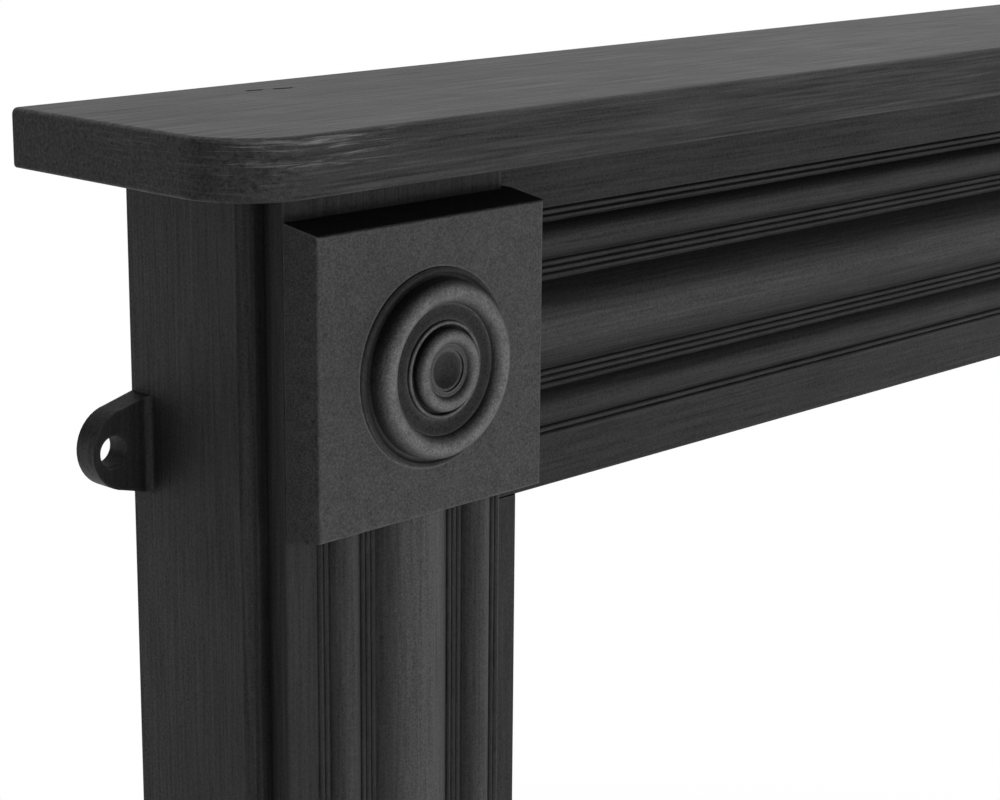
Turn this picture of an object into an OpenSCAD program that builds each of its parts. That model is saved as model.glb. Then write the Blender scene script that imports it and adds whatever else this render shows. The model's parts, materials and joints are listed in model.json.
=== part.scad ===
// Cast iron fire surround: shelf, reeded frieze and legs, corner blocks with turned bullseyes.
// Millimetres, +Z up, front faces -Y. The origin is on the hearth, on the wall, at mid width.

/* [Opening] */
// Clear width between the legs
opening_w = 914; // [780:1:1100]
// Clear height from the hearth to the underside of the frieze
opening_h = 965; // [860:1:1080]
// Height of the frieze casting, from the opening to the shelf
frieze_h = 186; // [180:1:215]

/* [Casting] */
// General wall thickness of the hollow-backed castings
wall = 6; // [5:0.5:8]
// Thickness of the bolted flanges between the frieze and the legs
flange_t = 8; // [6:0.5:11]
// Depth of those flanges behind the frieze's front wall
flange_d = 38; // [32:1:44]
// Depth of the stiffening webs behind the front walls
web_d = 20; // [14:1:24]
// Depth of the inner returns that face the opening
lip_d = 22; // [16:1:30]
// Small radius that fettling leaves on the arrises
arris_r = 1.5; // [0.6:0.1:2.5]
// How far the casting fills the bottoms of the grooves between reeds
groove_fill = 0.3; // [0.15:0.05:0.6]
// Gap between the wall and the back of the leg's base and top plates
plate_gap = 26; // [18:1:34]
// Clearance where one casting stands over or beside another
seat_gap = 0.3; // [0.2:0.05:0.5]

/* [Shelf] */
// Height of the shelf's turned-down edge
shelf_t = 28; // [22:1:36]
// Depth of the shelf from the wall
shelf_d = 160; // [150:1:200]
// Overhang past the outer face of each leg
shelf_over = 64; // [44:1:90]
// Plan radius of the two front corners
shelf_corner_r = 38; // [20:1:44]
// Thickness of the shelf's plate
shelf_plate = 8; // [6:0.5:12]
// Thickness of the turned-down rim
shelf_rim = 8; // [6:0.5:12]
// Radius along the shelf's top edge
shelf_top_r = 3; // [1.5:0.5:5]
// Radius along the shelf's lower edge
shelf_low_r = 2; // [1:0.5:4]
// Thickness of the bearing ribs under the plate
shelf_rib = 8; // [6:0.5:12]
// Diameter of the screw bosses under the plate
shelf_boss_d = 26; // [22:1:32]

/* [Leg section] */
// Depth of the flat side return, from the wall to the cove
side_d = 80.5; // [70:0.5:88]
// Radius of the cove at the outer front corner
cove_r = 6; // [4:0.5:9]
// Width of the narrow fillet between cove and pilaster
fillet_w = 5.5; // [3:0.5:8]
// Rise of the pilaster in front of that fillet
pilaster_rise = 14.5; // [10:0.5:18]
// Width of the inner margin beside the pilaster
margin_w = 20; // [17:0.5:28]
// Step back from the pilaster to the inner margin and the frieze
margin_step = 6; // [3:0.5:7]
// Width of the pilaster's flat beside its first reed
leg_flat_w = 19; // [14:0.5:28]
// Width of one bead in the leg's reeding
leg_bead_w = 3.5; // [3:0.1:4.2]
// Width of each small torus on the leg
leg_small_w = 20.5; // [18:0.5:24]
// Rise of each small torus on the leg
leg_small_rise = 6; // [4:0.25:7]
// Width of the large middle torus on the leg
leg_large_w = 49; // [44:0.5:56]
// Rise of the large middle torus on the leg
leg_large_rise = 11.5; // [8:0.25:14]

/* [Frieze section] */
// Height of the plain flat below the shelf
frieze_flat_h = 37; // [30:0.5:46]
// Width of one bead in the frieze's reeding
frieze_bead_w = 3.5; // [2.8:0.1:4.2]
// Width of each small torus on the frieze
frieze_small_w = 20; // [16:0.5:22]
// Rise of each small torus on the frieze
frieze_small_rise = 5.5; // [4:0.25:7]
// Width of the large middle torus on the frieze
frieze_large_w = 47.5; // [40:0.5:50]
// Rise of the large middle torus on the frieze
frieze_large_rise = 11; // [8:0.25:13]

/* [Corner block] */
// Plain neck between the shelf and the block's front face
block_neck = 25.5; // [22:0.5:32]
// Height of the block's front face
block_h = 146; // [136:1:156]
// Projection of the block's face in front of the pilaster
block_proj = 23; // [19:0.5:28]
// How far the block laps over the frieze's end
block_lap = 7; // [5:0.5:12]
// Draft of the block's top and bottom over its projection
block_draft = 3.6; // [2:0.2:6]
// Draft of the block's outer side
block_side_draft = 0.5; // [0.2:0.1:2]
// How far the bullseye's centre lies below the middle of the face
eye_drop = 0; // [0:0.5:5]

/* [Bullseye] */
// Outer radius of the bead round the bullseye
eye_r = 49.3; // [48.9:0.1:51]
// Section radius of that bead
eye_rim_t = 1.9; // [1.7:0.1:2]
// Level of the groove inside that bead
eye_groove_h = 1.3; // [0.8:0.1:1.5]
// Radius of the large torus, to the crest
eye_torus_r = 38.2; // [37.8:0.1:38.6]
// Section radius of the large torus
eye_torus_t = 5.9; // [5.3:0.1:6]
// Crest of the large torus in front of the face
eye_torus_h = 11; // [9:0.25:12]
// Level of the hollow ring between the two tori
eye_ring_h = 6.2; // [5:0.1:7]
// Radius of the small bead round the inner torus
eye_bead_r = 23; // [22.6:0.1:23.4]
// Radius of the inner torus, to the crest
eye_inner_r = 16.6; // [16.2:0.1:17]
// Section radius of the inner torus
eye_inner_t = 4; // [3.5:0.1:4.2]
// Crest of the inner torus in front of the face
eye_inner_h = 11.6; // [10.6:0.1:12.4]
// Radius of the cup at the centre
eye_cup_r = 10; // [8:0.2:10.4]
// Depth of the cup below its rim
eye_cup_d = 5; // [3:0.2:6]

/* [Plinth] */
// Height of the plain foot block at its front face
plinth_h = 170; // [140:1:200]

/* [Wall lug] */
// Centre of the lug's hole below the shelf
lug_drop = 141.5; // [90:0.5:200]
// Reach of the lug from the leg's side face
lug_reach = 34.5; // [32:0.5:42]
// Radius of the lug's rounded end
lug_end_r = 20.5; // [18:0.5:22]
// Height of the lug where it joins the leg
lug_root_h = 49.5; // [46:0.5:70]
// Thickness of the lug
lug_t = 13.5; // [8:0.5:15]
// Hole for the wall screw
lug_hole_d = 16; // [8:0.5:17]
// Centre of the hole from the leg's side face
lug_hole_in = 22.3; // [16:0.1:23]
// Radius of the cast fillet at the lug's root
lug_root_r = 4; // [2:0.5:8]

/* [Fixings] */
// Nominal diameter of the bolts in the joints and the shelf
bolt_d = 10; // [8:1:12]
// Nominal diameter of the studs in the blocks and plinths
stud_d = 8; // [6:1:10]
// Clearance on the diameter of the drilled flange holes
hole_fit = 1; // [0.6:0.1:1.6]
// Clearance on the diameter of a nut, washer or tapped bore
thread_fit = 0.2; // [0.1:0.05:0.4]
// Washer thickness
washer_t = 2; // [1.5:0.5:3]
// Depth of the tapped bores
tapped_depth = 14; // [11:0.5:15]
// Thread that stands proud of a nut
thread_proud = 2.5; // [1.5:0.5:4]
// Offset of each block or plinth stud from the middle, both ways
stud_off = 47; // [42:1:49]
// Height of the lower joint bolt above the opening
joint_low = 60; // [40:1:70]
// Drop of the upper joint bolt below the shelf
joint_high = 45; // [36:1:56]

/* [Hidden] */
$fn = 64;

// Leg section stations across, from the outer side face, and depths in front of the wall
pil_x = cove_r + fillet_w;
pil_w = leg_flat_w + 10 * leg_bead_w + 2 * leg_small_w + leg_large_w;
pil_end = pil_x + pil_w;
leg_w = pil_end + margin_w;
fil_y = side_d + cove_r;
pil_y = fil_y + pilaster_rise;
mar_y = pil_y - margin_step;
flange_y = mar_y - wall - flange_d;

// Levels and half widths of the whole surround
top_z = opening_h + frieze_h;
half_w = opening_w / 2 + leg_w;
frieze_half = half_w - pil_end;

// Corner block and plinth stations
face_y = pil_y + block_proj;
block_x0 = pil_x + block_side_draft;
block_x1 = pil_end + block_lap;
block_mid = (block_x0 + block_x1) / 2;
block_top = top_z - block_neck;
block_bot = block_top - block_h;
block_zc = (block_top + block_bot) / 2;
reed_top = block_bot - seat_gap;
reed_bot = plinth_h + seat_gap;
plinth_zc = plinth_h / 2;

// Fixing sizes from the nominal diameters
bolt_af = 1.6 * bolt_d;
bolt_head = 0.64 * bolt_d;
bolt_nut = 0.8 * bolt_d;
bolt_washer = 2 * bolt_d;
stud_af = 1.6 * stud_d;
stud_nut = 0.8 * stud_d;
stud_washer = 2 * stud_d;
stud_boss = 2.6 * stud_d;
joint_y = mar_y - wall - flange_d / 2;
joint_zs = [opening_h + joint_low, top_z - joint_high];
screw_y = joint_y;
leg_screw_xs = [wall + shelf_boss_d, pil_end - flange_t - shelf_boss_d];
frieze_screw_xs = [for (k = [-2, 0, 2]) k * frieze_half / 4];
web_xs = [for (k = [-3, -1, 1, 3]) k * frieze_half / 4];
shelf_half = half_w + shelf_over;

// Points of a polygon whose corner i is rounded to rads[i]
function unit(v) = v / norm(v);
function turn(a) = a > 180 ? a - 360 : (a < -180 ? a + 360 : a);
function corner_arc(p, a, b, r, n) =
  let(
    d1 = unit(a - p),
    d2 = unit(b - p),
    half = acos(d1 * d2) / 2,
    c = p + unit(d1 + d2) * r / sin(half),
    t1 = p + d1 * r / tan(half) - c,
    t2 = p + d2 * r / tan(half) - c,
    a1 = atan2(t1[1], t1[0]),
    sweep = turn(atan2(t2[1], t2[0]) - a1)
  )
  [for (i = [0 : n]) c + r * [cos(a1 + sweep * i / n), sin(a1 + sweep * i / n)]];
function soft(pts, rads, n = 5) =
  let(k = len(pts))
  [for (i = [0 : k - 1])
    each (rads[i] > 0
      ? corner_arc(pts[i], pts[(i + k - 1) % k], pts[(i + 1) % k], rads[i], n)
      : [pts[i]])];

// Section radius of a torus from its width and rise
function round_of(w, h) = (w * w / 4 + h * h) / (2 * h);

// One reed standing on a flat: width along x from x0, base at y = base, rising to -y
module reed(x0, w, h, base) {
  r = round_of(w, h);
  intersection() {
    translate([x0 + w / 2, -(base + h - r)]) circle(r);
    translate([x0, -(base + h + 1)]) square([w, h + 1 + wall / 2]);
  }
}

// The hollow behind a torus, set in from its surface
module reed_core(x0, w, h, base, inset) {
  r = round_of(w, h);
  if (r - inset > 0.5)
    translate([x0 + w / 2, -(base + h - r)]) circle(r - inset);
}

// A run of reeds on the leg, widths measured inwards from the pilaster's outer edge
leg_x1 = pil_x + leg_flat_w;
leg_x2 = leg_x1 + 2 * leg_bead_w;
leg_x3 = leg_x2 + leg_small_w;
leg_x4 = leg_x3 + 3 * leg_bead_w;
leg_x5 = leg_x4 + leg_large_w;
leg_x6 = leg_x5 + 3 * leg_bead_w;
leg_x7 = leg_x6 + leg_small_w;
leg_bead_h = leg_bead_w * 0.45;

module leg_reeds() {
  translate([leg_x1, -(pil_y + groove_fill)])
    square([pil_end - leg_x1, groove_fill + wall / 2]);
  for (i = [0 : 1]) reed(leg_x1 + i * leg_bead_w, leg_bead_w, leg_bead_h, pil_y);
  reed(leg_x2, leg_small_w, leg_small_rise, pil_y);
  for (i = [0 : 2]) reed(leg_x3 + i * leg_bead_w, leg_bead_w, leg_bead_h, pil_y);
  reed(leg_x4, leg_large_w, leg_large_rise, pil_y);
  for (i = [0 : 2]) reed(leg_x5 + i * leg_bead_w, leg_bead_w, leg_bead_h, pil_y);
  reed(leg_x6, leg_small_w, leg_small_rise, pil_y);
  for (i = [0 : 1]) reed(leg_x7 + i * leg_bead_w, leg_bead_w, leg_bead_h, pil_y);
}

// The run of reeds, cut at each end to the sloping underside of the block and top of the plinth
module leg_reed_run() {
  slope = block_draft / block_proj;
  over = 5;
  difference() {
    translate([0, 0, reed_bot]) linear_extrude(reed_top - reed_bot) leg_reeds();
    translate([pil_x, 0, 0]) rotate([90, 0, 90]) linear_extrude(leg_w) polygon([
      [-pil_y, reed_top - block_draft], [-pil_y, reed_top + over],
      [-(face_y + over), reed_top + over], [-(face_y + over), reed_top + slope * over]
    ]);
    translate([pil_x, 0, 0]) rotate([90, 0, 90]) linear_extrude(leg_w) polygon([
      [-pil_y, reed_bot + block_draft], [-(face_y + over), reed_bot - slope * over],
      [-(face_y + over), reed_bot - over], [-pil_y, reed_bot - over]
    ]);
  }
}

module leg_cores(inset) {
  reed_core(leg_x2, leg_small_w, leg_small_rise, pil_y, inset);
  reed_core(leg_x4, leg_large_w, leg_large_rise, pil_y, inset);
  reed_core(leg_x6, leg_small_w, leg_small_rise, pil_y, inset);
}

// Outline of the leg up to the pilaster's inner edge, solid, without reeds
module leg_outline() {
  difference() {
    translate([0, -fil_y]) square([pil_end, fil_y]);
    translate([0, -fil_y]) circle(cove_r);
  }
  polygon(soft([
    [pil_x, -fil_y + wall / 2], [pil_x, -pil_y], [pil_end, -pil_y], [pil_end, -fil_y + wall / 2]
  ], [0, arris_r, 0, 0]));
}

// Outline of the inner margin with its return towards the wall
module margin_outline() {
  polygon(soft([
    [pil_end - wall, -(mar_y - lip_d)], [pil_end - wall, -mar_y],
    [leg_w, -mar_y], [leg_w, -(mar_y - lip_d)]
  ], [0, 0, arris_r, 0]));
}

// What is hollow behind the leg's walls, open at the back
module leg_hollow(x_end) {
  difference() {
    translate([wall, -(fil_y - wall)]) square([x_end - wall, fil_y]);
    translate([0, -fil_y]) circle(cove_r + wall);
  }
  translate([pil_x + wall, -(mar_y - wall)]) square([x_end - pil_x - wall, mar_y - wall]);
  translate([pil_x + wall, -(pil_y - wall)])
    square([min(x_end, pil_end - wall) - pil_x - wall, margin_step + 1]);
}

// Horizontal web across the leg's hollow
module leg_web_2d(depth, x_end) {
  difference() {
    union() {
      translate([wall / 2, -(fil_y - wall / 2)])
        square([x_end - wall, fil_y - wall / 2 - (pil_y - wall - depth)]);
      translate([pil_x + wall / 2, -(mar_y - wall / 2)])
        square([x_end - pil_x - wall, mar_y - wall / 2 - (pil_y - wall - depth)]);
      translate([pil_x + wall / 2, -(pil_y - wall / 2)])
        square([pil_w - wall, margin_step + wall]);
      intersection() {
        leg_cores(wall / 2);
        translate([pil_x, -2 * pil_y]) square([pil_w, pil_y + wall]);
      }
    }
    translate([0, -fil_y]) circle(cove_r + wall / 2);
  }
}

// Wall lug: a round end with straight flanks running out to a taller root; the flanks end
// just inside the round, so that they cross it cleanly
lug_cx = -(lug_reach - lug_end_r);
lug_far = norm([lug_cx, lug_root_h / 2]);
lug_lean = acos(lug_end_r / lug_far) + atan2(lug_root_h / 2, -lug_cx);
lug_touch = (lug_end_r - 0.1) * [cos(lug_lean), sin(lug_lean)];

module lug_2d() {
  translate([lug_cx, 0]) circle(lug_end_r);
  polygon([
    [wall / 2, -lug_root_h / 2], [0, -lug_root_h / 2],
    [lug_cx + lug_touch[0], -lug_touch[1]], [lug_cx, 0],
    [lug_cx + lug_touch[0], lug_touch[1]], [0, lug_root_h / 2],
    [wall / 2, lug_root_h / 2]
  ]);
}

module lug() {
  translate([0, 0, top_z - lug_drop]) {
    difference() {
      union() {
        rotate([90, 0, 0]) linear_extrude(lug_t) lug_2d();
        intersection() {
          rotate([90, 0, 0]) linear_extrude(lug_t + lug_root_r) lug_2d();
          translate([0, 0, -lug_root_h / 2]) linear_extrude(lug_root_h)
            difference() {
              translate([-lug_root_r, -(lug_t + lug_root_r)])
                square([lug_root_r + wall / 2, lug_root_r + lug_t / 2]);
              translate([-lug_root_r, -(lug_t + lug_root_r)]) circle(lug_root_r);
            }
        }
      }
      translate([-lug_hole_in, 1, 0]) rotate([90, 0, 0])
        cylinder(d = lug_hole_d, h = lug_t + lug_root_r + 2);
    }
  }
}

module leg() {
  difference() {
    union() {
      // walls: full height outside, up to the shoulder inside
      difference() {
        union() {
          linear_extrude(top_z) leg_outline();
          linear_extrude(opening_h) margin_outline();
          leg_reed_run();
        }
        translate([0, 0, wall]) linear_extrude(opening_h - 2 * wall) leg_hollow(leg_w - wall);
        translate([0, 0, opening_h - 2 * wall]) linear_extrude(frieze_h + wall)
          leg_hollow(pil_end - flange_t);
        translate([0, 0, reed_bot + block_draft + wall])
          linear_extrude(reed_top - reed_bot - 2 * (block_draft + wall)) leg_cores(wall);
        // the base and top plates reach part of the way to the wall
        translate([wall, -plate_gap, -1]) cube([leg_w, side_d, wall + 2]);
        translate([wall, -plate_gap, top_z - wall - 1]) cube([leg_w, side_d, wall + 2]);
        // the joint flange is no deeper than the frieze's
        translate([pil_end - flange_t - 1, -flange_y, opening_h - 2 * wall])
          cube([flange_t + 2, flange_y + 1, frieze_h + 2 * wall + 1]);
        // the back is open past the inner return
        translate([pil_end - flange_t - 1, -(mar_y - lip_d), -1])
          cube([flange_t + margin_w + 2, mar_y, opening_h + 1]);
      }
      // webs across the hollow
      for (k = [1 : 3])
        translate([0, 0, (opening_h - wall) * k / 4]) linear_extrude(wall) leg_web_2d(web_d, leg_w);
      lug();
    }
    for (x = leg_screw_xs)
      translate([x, -screw_y, top_z - wall - 1]) cylinder(d = bolt_d + hole_fit, h = wall + 2);
    for (z = joint_zs)
      translate([pil_end - flange_t - 1, -joint_y, z])
        rotate([0, 90, 0]) cylinder(d = bolt_d + hole_fit, h = flange_t + 2);
    for (s = [-1, 1]) {
      translate([block_mid + s * stud_off, -(pil_y + 1), block_zc - s * stud_off])
        rotate([-90, 0, 0]) cylinder(d = stud_d + hole_fit, h = wall + 2);
      translate([block_mid + s * stud_off, -(pil_y + 1), plinth_zc - s * stud_off])
        rotate([-90, 0, 0]) cylinder(d = stud_d + hole_fit, h = wall + 2);
    }
  }
}

// Frieze section in Y and Z: x is Y, y is Z above the opening; reeds are turned to face -Y
fr_b = frieze_bead_w;
fr_s = frieze_small_w;
fr_l = frieze_large_w;
fr_z0 = frieze_h - frieze_flat_h - 10 * fr_b - 2 * fr_s - fr_l;
fr_z1 = fr_z0 + 2 * fr_b;
fr_z2 = fr_z1 + fr_s;
fr_z3 = fr_z2 + 3 * fr_b;
fr_z4 = fr_z3 + fr_l;
fr_z5 = fr_z4 + 3 * fr_b;
fr_z6 = fr_z5 + fr_s;
fr_bead_h = fr_b * 0.45;

module frieze_reeds() {
  translate([fr_z0, -(mar_y + groove_fill)])
    square([fr_z6 + 2 * fr_b - fr_z0, groove_fill + wall / 2]);
  for (i = [0 : 1]) reed(fr_z0 + i * fr_b, fr_b, fr_bead_h, mar_y);
  reed(fr_z1, fr_s, frieze_small_rise, mar_y);
  for (i = [0 : 2]) reed(fr_z2 + i * fr_b, fr_b, fr_bead_h, mar_y);
  reed(fr_z3, fr_l, frieze_large_rise, mar_y);
  for (i = [0 : 2]) reed(fr_z4 + i * fr_b, fr_b, fr_bead_h, mar_y);
  reed(fr_z5, fr_s, frieze_small_rise, mar_y);
  for (i = [0 : 1]) reed(fr_z6 + i * fr_b, fr_b, fr_bead_h, mar_y);
}

module frieze_cores(inset) {
  reed_core(fr_z1, fr_s, frieze_small_rise, mar_y, inset);
  reed_core(fr_z3, fr_l, frieze_large_rise, mar_y, inset);
  reed_core(fr_z5, fr_s, frieze_small_rise, mar_y, inset);
}

// Upright web across the frieze's back, following the hollows of the tori
module frieze_web_2d() {
  translate([wall / 2, -(mar_y - wall / 2)]) square([frieze_h - wall, wall / 2 + web_d]);
  intersection() {
    frieze_cores(wall / 2);
    translate([wall, -2 * mar_y]) square([frieze_h - 2 * wall, mar_y + wall]);
  }
}

// Lays a section drawn in the leg's way, with z across the page, along the X axis
module along_x(x0, x1) {
  translate([x0, 0, opening_h])
    rotate([90, 0, 90]) linear_extrude(x1 - x0) rotate(90) mirror([0, 1, 0]) children();
}

module frieze_walls() {
  polygon(soft([
    [0, -mar_y], [frieze_h, -mar_y], [frieze_h, -flange_y], [frieze_h - wall, -flange_y],
    [frieze_h - wall, -(mar_y - wall)], [wall, -(mar_y - wall)],
    [wall, -(mar_y - lip_d)], [0, -(mar_y - lip_d)]
  ], [arris_r, 0, 0, 0, wall / 2, wall / 2, 0, 0]));
}

module frieze() {
  reed_half = half_w - block_x1 - seat_gap;
  color("DimGray") difference() {
    union() {
      difference() {
        union() {
          along_x(-frieze_half, frieze_half) frieze_walls();
          along_x(-reed_half, reed_half) frieze_reeds();
        }
        along_x(-reed_half + wall, reed_half - wall) frieze_cores(wall);
      }
      // end flanges
      for (s = [-1, 1])
        translate([s * (frieze_half - flange_t / 2) - flange_t / 2, -mar_y + wall / 2, opening_h])
          cube([flange_t, mar_y - wall / 2 - flange_y, frieze_h]);
      for (x = web_xs)
        along_x(x - wall / 2, x + wall / 2) frieze_web_2d();
    }
    for (s = [-1, 1])
      for (z = joint_zs)
        translate([s * (frieze_half - flange_t / 2) - flange_t / 2 - 1, -joint_y, z])
          rotate([0, 90, 0]) cylinder(d = bolt_d + hole_fit, h = flange_t + 2);
    for (x = frieze_screw_xs)
      translate([x, -screw_y, top_z - wall - 1]) cylinder(d = bolt_d + hole_fit, h = wall + 2);
  }
}

// Shelf: edge sections are drawn once and carried along the front, ends and corners
module edge_2d(len) {
  polygon(soft([
    [0, 0], [len, 0], [len, shelf_t], [0, shelf_t]
  ], [0, shelf_low_r, shelf_top_r, 0]));
}

module shelf_body() {
  cx = shelf_half - shelf_corner_r;
  cy = shelf_d - shelf_corner_r;
  // middle, with the front edge
  translate([-cx, 0, top_z]) rotate([90, 0, 90]) linear_extrude(2 * cx)
    mirror([1, 0, 0]) edge_2d(shelf_d);
  for (s = [0, 1]) mirror([s, 0, 0]) {
    // end strip, behind the rounded corner
    translate([cx, 0, top_z]) rotate([90, 0, 0]) linear_extrude(cy) edge_2d(shelf_corner_r);
    // the corner itself
    translate([cx, -cy, top_z]) intersection() {
      rotate_extrude() edge_2d(shelf_corner_r);
      translate([0, -shelf_corner_r, 0]) cube([shelf_corner_r, shelf_corner_r, shelf_t]);
    }
  }
}

module shelf_hollow() {
  r = shelf_corner_r - shelf_rim;
  w = shelf_half - shelf_rim;
  d = shelf_d - shelf_rim;
  translate([-w, -d + r]) square([2 * w, d - r - shelf_rim]);
  translate([-w + r, -d]) square([2 * (w - r), d - shelf_rim]);
  for (s = [-1, 1]) translate([s * (w - r), -d + r]) circle(r);
}

screw_xs = [
  for (x = leg_screw_xs) -half_w + x,
  for (x = frieze_screw_xs) x,
  for (x = leg_screw_xs) half_w - x
];
rib_h = shelf_t - shelf_plate;

// Two shallow casting scars on top: place from the left leg's side and the wall, length, depth
scars = [[61, 25, 10, 1.2], [76.5, 28.5, 12, 1.2]];
scar_w = 3;

module mantel_shelf() {
  color("SlateGray") difference() {
    union() {
      difference() {
        shelf_body();
        translate([0, 0, top_z - 1]) linear_extrude(rib_h + 1) shelf_hollow();
      }
      // bearing ribs along the frieze and the legs
      for (y = [mar_y, flange_y + shelf_rib])
        translate([-half_w, -y, top_z]) cube([2 * half_w, shelf_rib, rib_h + 1]);
      // cross ribs over the legs' sides and the joints, and out to the rim
      for (s = [-1, 1])
        for (x = [half_w - shelf_rib, half_w - pil_end])
          translate([s * (x + shelf_rib / 2) - shelf_rib / 2, -(shelf_d - shelf_rim / 2), top_z])
            cube([shelf_rib, shelf_d - shelf_rim, rib_h + 1]);
      for (x = screw_xs)
        translate([x, -screw_y, top_z]) cylinder(d = shelf_boss_d, h = rib_h + 1);
    }
    for (x = screw_xs)
      translate([x, -screw_y, top_z - 1]) cylinder(d = bolt_d + thread_fit, h = tapped_depth + 1);
    for (p = scars)
      translate([p[0] - half_w, -p[1], top_z + shelf_t - p[3] + round_of(p[2], p[3])])
        rotate([90, 0, -12]) cylinder(r = round_of(p[2], p[3]), h = scar_w, center = true);
  }
}

// Outer form of a block or plinth: two drafted profiles crossing, with a lip over the margin
module block_form(z0, z1, draft0, draft1) {
  intersection() {
    translate([0, 0, z0 - draft0 - 1]) linear_extrude(z1 - z0 + draft0 + draft1 + 2)
      polygon(soft([
        [pil_x, -pil_y], [block_x0, -face_y], [block_x1, -face_y],
        [block_x1, -(mar_y + seat_gap)], [pil_end + seat_gap, -(mar_y + seat_gap)],
        [pil_end + seat_gap, -pil_y]
      ], [0, arris_r, arris_r, 0, 0, 0]));
    translate([pil_x - 1, 0, 0]) rotate([90, 0, 90]) linear_extrude(block_x1 - pil_x + 2)
      polygon(soft([
        [0, z0 - draft0], [-pil_y, z0 - draft0], [-face_y, z0],
        [-face_y, z1], [-pil_y, z1 + draft1], [0, z1 + draft1]
      ], [0, 0, arris_r, arris_r, 0, 0]));
  }
}

// The hollow behind a block, inside its walls and behind its face
module block_hollow(z0, z1) {
  translate([pil_x + wall, -(face_y - wall), z0 + wall])
    cube([block_x1 - pil_x - 2 * wall, block_proj - wall + 1, z1 - z0 - 2 * wall]);
}

// Tapped bosses that take the studs
module block_bosses(zc) {
  for (s = [-1, 1])
    translate([block_mid + s * stud_off, -pil_y, zc - s * stud_off])
      rotate([90, 0, 0]) cylinder(d = stud_boss, h = block_proj - wall / 2);
}

module block_taps(zc) {
  for (s = [-1, 1])
    translate([block_mid + s * stud_off, -pil_y + 1, zc - s * stud_off])
      rotate([90, 0, 0]) cylinder(d = stud_d + thread_fit, h = tapped_depth + 1);
}

// Turned bullseye, drawn as radius and height in front of the face
torus_c = eye_torus_h - eye_torus_t;
inner_c = eye_inner_h - eye_inner_t;
eye_rim_h = inner_c + eye_inner_t * 0.35;
cup_R = round_of(2 * eye_cup_r, eye_cup_d);
ring_x0 = eye_bead_r;
ring_x1 = eye_torus_r - eye_torus_t;
ring_dip = 0.9;
ring_R = round_of(ring_x1 - ring_x0, ring_dip);
eye_thin_t = 1.2;

module eye_section() {
  // raised base, with a bead round it
  translate([0, -wall / 2]) square([eye_r - eye_rim_t, eye_groove_h + wall / 2]);
  translate([eye_r - eye_rim_t, 0.2]) circle(eye_rim_t);
  // large torus on its stem
  translate([eye_torus_r - eye_torus_t, -wall / 2]) square([2 * eye_torus_t, torus_c + wall / 2]);
  translate([eye_torus_r, torus_c]) circle(eye_torus_t);
  // hollow ring between the tori, dipping between its edges, with a groove at the inner torus
  difference() {
    translate([eye_inner_r, -wall / 2])
      square([eye_torus_r - eye_inner_r, eye_ring_h + wall / 2]);
    translate([(ring_x0 + ring_x1) / 2, eye_ring_h - ring_dip + ring_R]) circle(ring_R);
    translate([eye_inner_r + eye_inner_t + 0.4, eye_ring_h]) circle(0.9);
  }
  translate([eye_bead_r, eye_ring_h]) circle(eye_thin_t);
  // inner torus, and the ledge and cup inside it
  difference() {
    union() {
      translate([eye_inner_r, inner_c]) circle(eye_inner_t);
      translate([0, -wall / 2]) square([eye_inner_r, eye_rim_h + wall / 2]);
    }
    translate([0, eye_rim_h - eye_cup_d + cup_R]) circle(cup_R);
    translate([-1, eye_rim_h - 1]) square([eye_cup_r + 1.5, eye_inner_t + 2]);
    translate([-2 * cup_R, -2 * wall]) square([2 * cup_R, 4 * cup_R + 2 * wall]);
  }
}

module corner_block() {
  difference() {
    union() {
      difference() {
        block_form(block_bot, block_top, block_draft, block_draft);
        block_hollow(block_bot, block_top);
      }
      translate([block_mid, -face_y, block_zc - eye_drop])
        rotate([90, 0, 0]) rotate_extrude() eye_section();
      block_bosses(block_zc);
    }
    block_taps(block_zc);
  }
}

module plinth() {
  difference() {
    union() {
      difference() {
        block_form(0, plinth_h, 0, block_draft);
        block_hollow(-wall, plinth_h);
      }
      block_bosses(plinth_zc);
    }
    block_taps(plinth_zc);
  }
}

// Fixings, each standing on z = 0 and pointing up
module hex_prism(af, h) {
  rotate(30) cylinder(d = af / cos(30), h = h, $fn = 6);
}

module eased_hex(af, h) {
  intersection() {
    hex_prism(af, h);
    rotate_extrude() polygon([
      [0, 0], [af * 0.5774, 0], [af * 0.5774, h - af * 0.045],
      [af * 0.5, h], [0, h]
    ]);
  }
}

module hex_bolt(d, af, head, len) {
  mirror([0, 0, 1]) eased_hex(af, head);
  cylinder(d = d, h = len - 1);
  translate([0, 0, len - 1]) cylinder(d1 = d, d2 = d - 2, h = 1);
}

module washer(d, od, t) {
  difference() {
    cylinder(d = od, h = t);
    translate([0, 0, -1]) cylinder(d = d + hole_fit, h = t + 2);
  }
}

module hex_nut(d, af, h) {
  difference() {
    eased_hex(af, h);
    translate([0, 0, -1]) cylinder(d = d + thread_fit, h = h + 2);
  }
}

module stud(d, len) {
  cylinder(d = d, h = len - 1);
  translate([0, 0, len - 1]) cylinder(d1 = d, d2 = d - 2, h = 1);
}

// Shelf screws rise through the top flanges into the shelf's bosses
module shelf_screws() {
  color("DarkGray") for (x = screw_xs)
    translate([x, -screw_y, top_z - wall - washer_t])
      hex_bolt(bolt_d, bolt_af, bolt_head, wall + washer_t + tapped_depth - 1);
}

module shelf_screw_washers() {
  color("Silver") for (x = screw_xs)
    translate([x, -screw_y, top_z - wall - washer_t]) washer(bolt_d, bolt_washer, washer_t);
}

// Joint bolts point from the frieze into the leg; drawn for the left side
module at_joint(x) {
  for (z = joint_zs)
    translate([-half_w + pil_end + x, -joint_y, z]) rotate([0, -90, 0]) children();
}

module joint_bolts() {
  color("DarkGray") at_joint(flange_t + washer_t)
    hex_bolt(bolt_d, bolt_af, bolt_head, 2 * flange_t + 2 * washer_t + bolt_nut + thread_proud);
}

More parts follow.
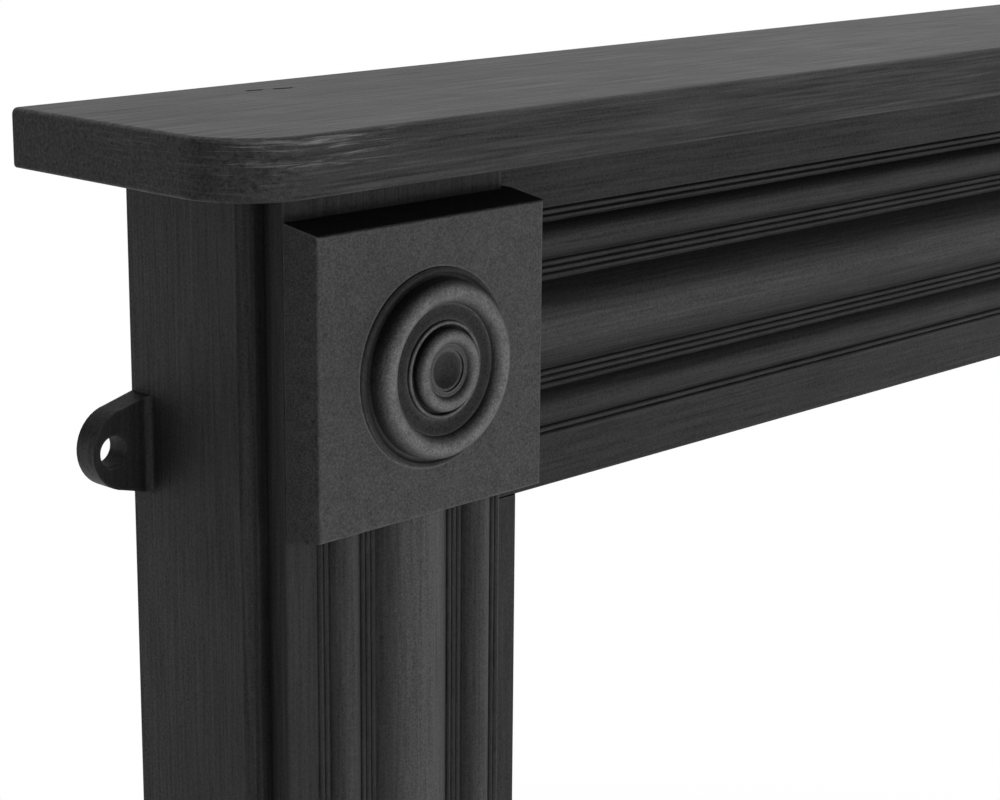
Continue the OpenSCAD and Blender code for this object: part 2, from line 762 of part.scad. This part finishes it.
module joint_washers() {
  color("Silver") at_joint(flange_t + washer_t) washer(bolt_d, bolt_washer, washer_t);
  color("Silver") at_joint(-flange_t) washer(bolt_d, bolt_washer, washer_t);
}

module joint_nuts() {
  color("Gray") at_joint(-flange_t - washer_t) hex_nut(bolt_d, bolt_af, bolt_nut);
}

// Studs run from the block's or plinth's bosses back through the leg's front wall
module at_studs(zc, y) {
  for (s = [-1, 1])
    translate([-half_w + block_mid + s * stud_off, -y, zc - s * stud_off])
      rotate([-90, 0, 0]) children();
}

module studs(zc) {
  color("DarkGray") at_studs(zc, pil_y + tapped_depth)
    stud(stud_d, tapped_depth + wall + washer_t + stud_nut + thread_proud);
}

module stud_washers(zc) {
  color("Silver") at_studs(zc, pil_y - wall) washer(stud_d, stud_washer, washer_t);
}

module stud_nuts(zc) {
  color("Gray") at_studs(zc, pil_y - wall - washer_t) hex_nut(stud_d, stud_af, stud_nut);
}

module left_leg() { color("DarkSlateGray") translate([-half_w, 0, 0]) leg(); }
module right_leg() { mirror([1, 0, 0]) left_leg(); }
module left_corner_block() { color("LightSlateGray") translate([-half_w, 0, 0]) corner_block(); }
module right_corner_block() { mirror([1, 0, 0]) left_corner_block(); }
module left_plinth() { color("SteelBlue") translate([-half_w, 0, 0]) plinth(); }
module right_plinth() { mirror([1, 0, 0]) left_plinth(); }
module left_joint_bolts() { joint_bolts(); }
module left_joint_washers() { joint_washers(); }
module left_joint_nuts() { joint_nuts(); }
module right_joint_bolts() { mirror([1, 0, 0]) joint_bolts(); }
module right_joint_washers() { mirror([1, 0, 0]) joint_washers(); }
module right_joint_nuts() { mirror([1, 0, 0]) joint_nuts(); }
module left_block_studs() { studs(block_zc); }
module left_block_washers() { stud_washers(block_zc); }
module left_block_nuts() { stud_nuts(block_zc); }
module right_block_studs() { mirror([1, 0, 0]) studs(block_zc); }
module right_block_washers() { mirror([1, 0, 0]) stud_washers(block_zc); }
module right_block_nuts() { mirror([1, 0, 0]) stud_nuts(block_zc); }
module left_plinth_studs() { studs(plinth_zc); }
module left_plinth_washers() { stud_washers(plinth_zc); }
module left_plinth_nuts() { stud_nuts(plinth_zc); }
module right_plinth_studs() { mirror([1, 0, 0]) studs(plinth_zc); }
module right_plinth_washers() { mirror([1, 0, 0]) stud_washers(plinth_zc); }
module right_plinth_nuts() { mirror([1, 0, 0]) stud_nuts(plinth_zc); }

mantel_shelf();
frieze();
left_leg();
right_leg();
left_corner_block();
right_corner_block();
left_plinth();
right_plinth();
shelf_screws();
shelf_screw_washers();
left_joint_bolts();
left_joint_washers();
left_joint_nuts();
right_joint_bolts();
right_joint_washers();
right_joint_nuts();
left_block_studs();
left_block_washers();
left_block_nuts();
right_block_studs();
right_block_washers();
right_block_nuts();
left_plinth_studs();
left_plinth_washers();
left_plinth_nuts();
right_plinth_studs();
right_plinth_washers();
right_plinth_nuts();
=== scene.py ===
import json
import math

import bpy
from mathutils import Matrix, Vector


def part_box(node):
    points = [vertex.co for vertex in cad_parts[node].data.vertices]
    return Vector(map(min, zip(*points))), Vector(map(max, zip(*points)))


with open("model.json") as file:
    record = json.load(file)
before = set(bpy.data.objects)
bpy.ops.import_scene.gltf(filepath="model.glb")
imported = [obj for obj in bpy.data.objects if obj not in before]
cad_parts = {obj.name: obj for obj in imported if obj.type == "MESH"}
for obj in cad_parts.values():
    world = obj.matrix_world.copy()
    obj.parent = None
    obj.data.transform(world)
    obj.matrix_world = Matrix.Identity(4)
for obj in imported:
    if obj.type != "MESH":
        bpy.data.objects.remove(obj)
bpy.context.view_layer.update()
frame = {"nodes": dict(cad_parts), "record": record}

scene = bpy.context.scene

# Brushing, as noise scales in 1/m: low along the strokes and high across them
ACROSS = (14.0, 620.0, 620.0)
UPRIGHT = (620.0, 620.0, 14.0)
EVEN = (150.0, 150.0, 150.0)

SHEEN = 0.28            # specular level of rubbed iron
ARRIS = 0.0022          # radius over which an arris rubs bright, m
# Reach of the painted shade (occlusion darkening) in grooves and under overhangs, m
SHADE_REACH = 0.012           # reach of the grime in grooves, m
SHELF_EDGE = 0.038      # radius of the shelf's front corners, m
WHITE_LEVEL = 1.0       # world and far floor, where they are seen
FILL_LEVEL = 0.05       # world, where it lights
FLOOR_HALF = 14.0
FLOOR_DROP = 0.0006     # keeps the floor clear of the feet


# Node graph of a material or a world: each helper returns an output socket
class Graph:
    def __init__(self, owner):
        self.tree = owner.node_tree
        self.tree.nodes.clear()
        self.links = self.tree.links
        self.coords = None

    def add(self, kind, **props):
        n = self.tree.nodes.new(kind)
        for k, v in props.items():
            setattr(n, k, v)
        return n

    def plug(self, socket, value):
        if isinstance(value, bpy.types.NodeSocket):
            self.links.new(value, socket)
        else:
            socket.default_value = value

    def position(self):
        if self.coords is None:
            self.coords = self.add("ShaderNodeTexCoord").outputs["Object"]
        return self.coords

    def scaled(self, scale, offset=(0.0, 0.0, 0.0)):
        n = self.add("ShaderNodeMapping")
        n.inputs["Scale"].default_value = scale
        n.inputs["Location"].default_value = offset
        self.plug(n.inputs["Vector"], self.position())
        return n.outputs["Vector"]

    def noise(self, vector, scale, detail=3.0, rough=0.55, distort=0.0):
        n = self.add("ShaderNodeTexNoise")
        self.plug(n.inputs["Vector"], vector)
        n.inputs["Scale"].default_value = scale
        n.inputs["Detail"].default_value = detail
        n.inputs["Roughness"].default_value = rough
        n.inputs["Distortion"].default_value = distort
        return n.outputs["Fac"]

    def math(self, op, a, b=0.0, clamp=False):
        n = self.add("ShaderNodeMath", operation=op)
        n.use_clamp = clamp
        self.plug(n.inputs[0], a)
        self.plug(n.inputs[1], b)
        return n.outputs[0]

    def times(self, a, b):
        return self.math("MULTIPLY", a, b)

    # a noise in 0..1 turned to a swing of that size about zero
    def swing(self, noise, size):
        return self.times(self.math("SUBTRACT", noise, 0.5), size)

    def apart(self, a, b):
        return self.math("ABSOLUTE", self.math("SUBTRACT", a, b))

    def vector(self, op, a, b=None, out="Vector"):
        n = self.add("ShaderNodeVectorMath", operation=op)
        self.plug(n.inputs[0], a)
        if b is not None:
            self.plug(n.inputs[1], b)
        return n.outputs[out]

    def split(self, vector):
        n = self.add("ShaderNodeSeparateXYZ")
        self.plug(n.inputs[0], vector)
        return n.outputs

    def ramp(self, value, lo, hi, out_lo=0.0, out_hi=1.0):
        n = self.add("ShaderNodeMapRange")
        n.interpolation_type = "SMOOTHSTEP"
        self.plug(n.inputs["Value"], value)
        n.inputs["From Min"].default_value = lo
        n.inputs["From Max"].default_value = hi
        n.inputs["To Min"].default_value = out_lo
        n.inputs["To Max"].default_value = out_hi
        return n.outputs["Result"]

    def mix(self, factor, a, b):
        n = self.add("ShaderNodeMix", data_type="RGBA")
        self.plug(n.inputs["Factor"], factor)
        self.plug(n.inputs[6], a)
        self.plug(n.inputs[7], b)
        return n.outputs[2]

    def bump(self, height, distance, strength=1.0, normal=None):
        n = self.add("ShaderNodeBump")
        n.inputs["Distance"].default_value = distance
        n.inputs["Strength"].default_value = strength
        self.plug(n.inputs["Height"], height)
        if normal is not None:
            self.plug(n.inputs["Normal"], normal)
        return n.outputs["Normal"]

    def blend(self, factor, a, b):
        n = self.add("ShaderNodeMixShader")
        self.plug(n.inputs[0], factor)
        self.links.new(a, n.inputs[1])
        self.links.new(b, n.inputs[2])
        return n.outputs[0]

    # 1 where the eye, a reflection or a view through glass meets the surface, 0 where it lights
    def seen(self):
        path = self.add("ShaderNodeLightPath").outputs
        direct = self.math("MAXIMUM", path["Is Camera Ray"], path["Is Glossy Ray"])
        return self.math("MAXIMUM", direct, path["Is Transmission Ray"])


def grey(v, tint=0.0):
    return (v, v, v * (1.0 + tint), 1.0)


def new_material(name):
    m = bpy.data.materials.new(name)
    m.use_nodes = True
    g = Graph(m)
    out = g.add("ShaderNodeOutputMaterial")
    bsdf = g.add("ShaderNodeBsdfPrincipled")
    g.links.new(bsdf.outputs["BSDF"], out.inputs["Surface"])
    return m, g, bsdf


# Blackleaded cast iron. dark and light are the ends of its grey, along is the brushing,
# crown (flat y, crest y, grey) paints highlight and rubbing on the reeds' crests, rings paints
# the bullseye's crest highlights and hollow shade, corner scuffs the shelf
def iron(name, dark, light, along, rough, grain, streak, wear_and_highlight, crown=None, rings=None,
         corner=None, top_shade=0.0):
    m, g, bsdf = new_material(name)
    p = g.position()
    fine = g.noise(g.scaled(along), 1.0, 4.0, 0.62, 0.3)
    broad = g.noise(g.scaled([a * 0.22 for a in along], (3.1, 1.7, 5.3)), 1.0, 3.0, 0.5)
    cloud = g.noise(p, 9.0, 3.0, 0.5)
    sand = g.noise(p, 620.0, 2.0, 0.6)
    speck = g.noise(p, 1100.0, 2.0, 0.6)
    geo = g.add("ShaderNodeNewGeometry")
    facing = g.split(geo.outputs["Normal"])

    # polish: streaks, slow clouding and speckle add up to one level
    level = g.math("ADD", g.swing(fine, 1.5 * streak), g.swing(broad, 1.1 * streak))
    level = g.math("ADD", level, g.swing(cloud, 0.9))
    level = g.math("ADD", level, g.swing(speck, 0.7 * grain))
    level = g.math("ADD", level, 0.5, clamp=True)

    # wear and painted highlight: arrises are painted bright where the bevelled normal leaves
    # the face normal
    bevel = g.add("ShaderNodeBevel", samples=4)
    bevel.inputs["Radius"].default_value = ARRIS
    turned = g.vector("DOT_PRODUCT", bevel.outputs["Normal"], geo.outputs["Normal"], "Value")
    edge_wear_and_highlight = g.times(g.ramp(turned, 0.995, 0.86), g.ramp(g.noise(p, 70.0), 0.35, 0.62, 0.35, 1.0))
    edge_wear_and_highlight = g.times(edge_wear_and_highlight, wear_and_highlight)

    # painted shade: occlusion darkens the colour in grooves and under overhangs
    ao = g.add("ShaderNodeAmbientOcclusion", samples=4)
    ao.inputs["Distance"].default_value = SHADE_REACH
    clear = g.ramp(ao.outputs["AO"], 0.25, 0.85)
    groove_shade = g.times(g.math("SUBTRACT", 1.0, clear), 0.75)
    color = g.mix(level, grey(dark), grey(light))
    color = g.mix(groove_shade, color, grey(dark * 0.45))
    color = g.mix(edge_wear_and_highlight, color, grey(light * 2.0 + 0.03))

    # sheen: speckled by the casting's grain; painted shade as less sheen in hollows and on side
    # faces
    sheen = g.math("ADD", 1.0, g.swing(speck, 1.5 * grain))
    sheen = g.math("ADD", sheen, g.swing(sand, 0.9 * grain))
    sheen = g.math("ADD", sheen, g.swing(fine, 1.3 * streak))
    sheen = g.times(sheen, g.math("ADD", 0.35, g.times(clear, 0.65)))
    flank = g.math("ABSOLUTE", facing[0])
    sheen = g.times(sheen, g.ramp(flank, 0.75, 0.97, 1.0, 0.78))

    if top_shade > 0.0:
        # painted shade: all that faces up is darkened and loses sheen
        upward_shade = g.times(g.ramp(facing[2], 0.05, 0.55), top_shade)
        sheen = g.times(sheen, g.math("SUBTRACT", 1.0, upward_shade))
        color = g.mix(upward_shade, color, grey(dark * 0.4))
    if crown is not None:
        # painted highlight on the reeds' crests, partly rubbing wear: lighter the further they
        # stand out of the flat
        flat_y, crest_y, bright = crown
        crest_rub_and_highlight = g.ramp(g.split(p)[1], flat_y, crest_y)
        crest_rub_and_highlight = g.times(crest_rub_and_highlight, g.ramp(fine, 0.25, 0.75, 0.6, 1.0))
        crest_rub_and_highlight = g.times(crest_rub_and_highlight, g.ramp(speck, 0.28, 0.72, 0.62, 1.28))
        color = g.mix(crest_rub_and_highlight, color, grey(bright))
    if rings is not None:
        # the turned bullseye: painted highlight and rubbing on the crests, painted shade in the
        # hollows
        eye_x, eye_z, crest_wear_and_highlights, hollow_shades = rings
        at = g.split(g.vector("ABSOLUTE", p))
        du = g.math("SUBTRACT", at[0], eye_x)
        dv = g.math("SUBTRACT", at[2], eye_z)
        radius = g.math("SQRT", g.math("ADD", g.times(du, du), g.times(dv, dv)))
        rub = g.times(g.ramp(g.noise(p, 160.0), 0.30, 0.66, 0.55, 1.0),
                      g.ramp(speck, 0.28, 0.72, 0.6, 1.3))
        for r0, half, gain in hollow_shades:
            pit_shade = g.ramp(g.apart(radius, r0), half, half * 0.3, 0.0, gain)
            color = g.mix(pit_shade, color, grey(dark * 0.35))
            sheen = g.times(sheen, g.math("SUBTRACT", 1.0, g.times(pit_shade, 0.45)))
        # painted highlight on the ring crests, partly rubbing wear
        for r0, half, gain in crest_wear_and_highlights:
            near = g.times(g.ramp(g.apart(radius, r0), half, half * 0.15), rub)
            color = g.mix(g.times(near, gain), color, grey(light * 3.2))
    if corner is not None:
        # scuffs where hands and brush have rubbed the shelf's rounded corner
        axis, reach, bright, top = corner
        plan = g.vector("MULTIPLY", p, (1.0, 1.0, 0.0))
        near = g.ramp(g.vector("DISTANCE", plan, axis, "Value"), reach, reach * 0.35)
        near = g.times(near, g.ramp(g.split(p)[2], top - 0.022, top - 0.004, 0.15, 1.0))
        rub = g.noise(g.scaled((22.0, 22.0, 520.0)), 1.0, 5.0, 0.66, 0.5)
        rub = g.times(g.ramp(rub, 0.49, 0.68), near)
        rub = g.times(rub, g.ramp(facing[2], 0.98, 0.55))
        color = g.mix(g.times(rub, 0.8), color, grey(bright))

    g.plug(bsdf.inputs["Base Color"], color)
    r = g.math("ADD", rough, g.swing(cloud, 0.22))
    r = g.math("ADD", r, g.times(g.math("SUBTRACT", 0.5, fine), 0.16))
    g.plug(bsdf.inputs["Roughness"], g.math("MAXIMUM", r, 0.2))
    bsdf.inputs["Metallic"].default_value = 0.0
    g.plug(bsdf.inputs["Specular IOR Level"], g.math("MULTIPLY", sheen, SHEEN, clamp=True))
    n = g.bump(g.noise(p, 60.0, 2.0), 0.0010, 0.35)
    n = g.bump(sand, 0.00035, min(1.0, 0.45 * grain), n)
    n = g.bump(fine, 0.00025, 0.35 * streak, n)
    g.plug(bsdf.inputs["Normal"], n)
    return m


def steel(name, color, rough):
    m, g, bsdf = new_material(name)
    p = g.position()
    tone = g.noise(p, 140.0)
    g.plug(bsdf.inputs["Base Color"], g.mix(tone, grey(color * 0.6), grey(color * 1.25, 0.02)))
    bsdf.inputs["Metallic"].default_value = 1.0
    g.plug(bsdf.inputs["Roughness"], g.math("ADD", rough, g.times(tone, 0.2)))
    g.plug(bsdf.inputs["Normal"], g.bump(g.noise(p, 900.0, 2.0), 0.0002, 0.4))
    return m


lo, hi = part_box("mantel_shelf")
left_corner = (lo.x + SHELF_EDGE, lo.y + SHELF_EDGE, 0.0)
shelf_top = hi.z

# The bullseye's axis, then where its crests get painted highlight and rubbing and where its
# hollows get painted shade, as (radius, half width, strength) in m
lo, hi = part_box("right_corner_block")
crest_wear_and_highlights = [(0.0380, 0.0062, 0.66), (0.0170, 0.0040, 0.66), (0.0230, 0.0010, 0.45),
          (0.0493, 0.0010, 0.3)]
hollow_shades = [(0.0465, 0.0030, 0.7), (0.0285, 0.0050, 0.75), (0.0212, 0.0015, 0.8),
           (0.0040, 0.0070, 0.6)]
eye = ((lo.x + hi.x) / 2, (lo.z + hi.z) / 2, crest_wear_and_highlights, hollow_shades)

# Depth of the reeding's flats and of its crests
flat_y, crest_y = -0.1022, -0.1125

looks = {
    "iron_shelf": iron("iron_shelf", dark=0.008, light=0.032, along=ACROSS, rough=0.60,
                       grain=0.9, streak=1.3, wear_and_highlight=0.5,
                       corner=(left_corner, 0.10, 0.20, shelf_top)),
    "iron_frieze": iron("iron_frieze", dark=0.004, light=0.011, along=ACROSS, rough=0.56,
                        grain=1.0, streak=0.9, wear_and_highlight=0.5,
                        crown=(flat_y, crest_y, 0.072), top_shade=0.6),
    "iron_leg": iron("iron_leg", dark=0.006, light=0.015, along=UPRIGHT, rough=0.56,
                     grain=1.0, streak=0.9, wear_and_highlight=0.5,
                     crown=(flat_y, crest_y, 0.056), top_shade=0.6),
    "iron_block": iron("iron_block", dark=0.027, light=0.052, along=EVEN, rough=0.62,
                       grain=2.0, streak=0.35, wear_and_highlight=0.6, rings=eye, top_shade=0.5),
    "iron_plinth": iron("iron_plinth", dark=0.012, light=0.028, along=EVEN, rough=0.60,
                        grain=1.5, streak=0.35, wear_and_highlight=0.6),
    "steel_bolt": steel("steel_bolt", 0.30, 0.35),
    "steel_washer": steel("steel_washer", 0.42, 0.30),
    "steel_nut": steel("steel_nut", 0.36, 0.32),
}

slot_of = {s["node"]: s["material_slot"] for s in frame["record"]["subparts"]}
for name, obj in frame["nodes"].items():
    look = looks[slot_of[name]]
    if not obj.material_slots:
        obj.data.materials.append(look)
    for s in obj.material_slots:
        s.material = look

# Floor: pale and matt by the object, running out to plain white
floor_mesh = bpy.data.meshes.new("floor")
h = FLOOR_HALF
floor_mesh.from_pydata([(-h, -h, 0), (h, -h, 0), (h, h, 0), (-h, h, 0)], [], [(0, 1, 2, 3)])
floor = bpy.data.objects.new("floor", floor_mesh)
scene.collection.objects.link(floor)
floor.location.z = -FLOOR_DROP

m = bpy.data.materials.new("floor")
m.use_nodes = True
g = Graph(m)
out = g.add("ShaderNodeOutputMaterial")
matt = g.add("ShaderNodeBsdfDiffuse")
matt.inputs["Color"].default_value = grey(0.80)
white = g.add("ShaderNodeEmission")
white.inputs["Color"].default_value = grey(WHITE_LEVEL)
away = g.vector("LENGTH", g.position(), out="Value")
far = g.times(g.ramp(away, 0.5, 1.6, 0.4, 1.0), g.seen())
g.links.new(g.blend(far, matt.outputs[0], white.outputs[0]), out.inputs["Surface"])
floor_mesh.materials.append(m)

# World: white where it is seen, a low even fill where it lights
world = bpy.data.worlds.new("studio")
world.use_nodes = True
scene.world = world
g = Graph(world)
out = g.add("ShaderNodeOutputWorld")
grounds = []
for strength in (FILL_LEVEL, WHITE_LEVEL):
    ground = g.add("ShaderNodeBackground")
    ground.inputs["Color"].default_value = grey(1.0)
    ground.inputs["Strength"].default_value = strength
    grounds.append(ground.outputs[0])
g.links.new(g.blend(g.seen(), *grounds), out.inputs["Surface"])


# Area lamp of size m and power W that leaves no mirror image of itself
def lamp(name, at, aim, size, power):
    data = bpy.data.lights.new(name, "AREA")
    data.shape = "RECTANGLE"
    data.size, data.size_y = size
    data.energy = power
    o = bpy.data.objects.new(name, data)
    scene.collection.objects.link(o)
    o.location = at
    o.rotation_euler = (Vector(aim) - Vector(at)).to_track_quat("-Z", "Y").to_euler()
    o.visible_glossy = False


lamp("key", at=(0.3, -3.1, 0.2), aim=(-0.2, -0.1, 1.05), size=(2.4, 0.45), power=90.0)
lamp("top", at=(0.7, 0.5, 3.2), aim=(0.3, -0.05, 1.0), size=(2.2, 1.0), power=90.0)
lamp("side", at=(-3.4, -1.4, 0.9), aim=(-0.5, -0.1, 0.9), size=(1.0, 2.0), power=1.5)

# Camera: fitted to the photograph. Angles in radians; yaw turns from +Y to +X
yaw, pitch, roll = 0.8043, 0.2463, 0.0086
eye_point = (-1.35641, -0.94850, 1.32732)
focal_px, width_px, sensor_mm = 2470.1, 1000.0, 36.0
fwd = Vector((math.sin(yaw) * math.cos(pitch), math.cos(yaw) * math.cos(pitch),
              -math.sin(pitch)))
right0 = Vector((math.cos(yaw), -math.sin(yaw), 0.0))
up0 = right0.cross(fwd)
right = math.cos(roll) * right0 + math.sin(roll) * up0
up = -math.sin(roll) * right0 + math.cos(roll) * up0
cam_data = bpy.data.cameras.new("camera")
cam_data.sensor_fit = "HORIZONTAL"
cam_data.sensor_width = sensor_mm
cam_data.lens = focal_px * sensor_mm / width_px
cam_data.clip_start = 0.05
cam_data.clip_end = 60.0
camera = bpy.data.objects.new("camera", cam_data)
scene.collection.objects.link(camera)
camera.matrix_world = (Matrix.Translation(eye_point)
                       @ Matrix((right, up, -fwd)).transposed().to_4x4())
scene.camera = camera

scene.view_settings.view_transform = "Standard"
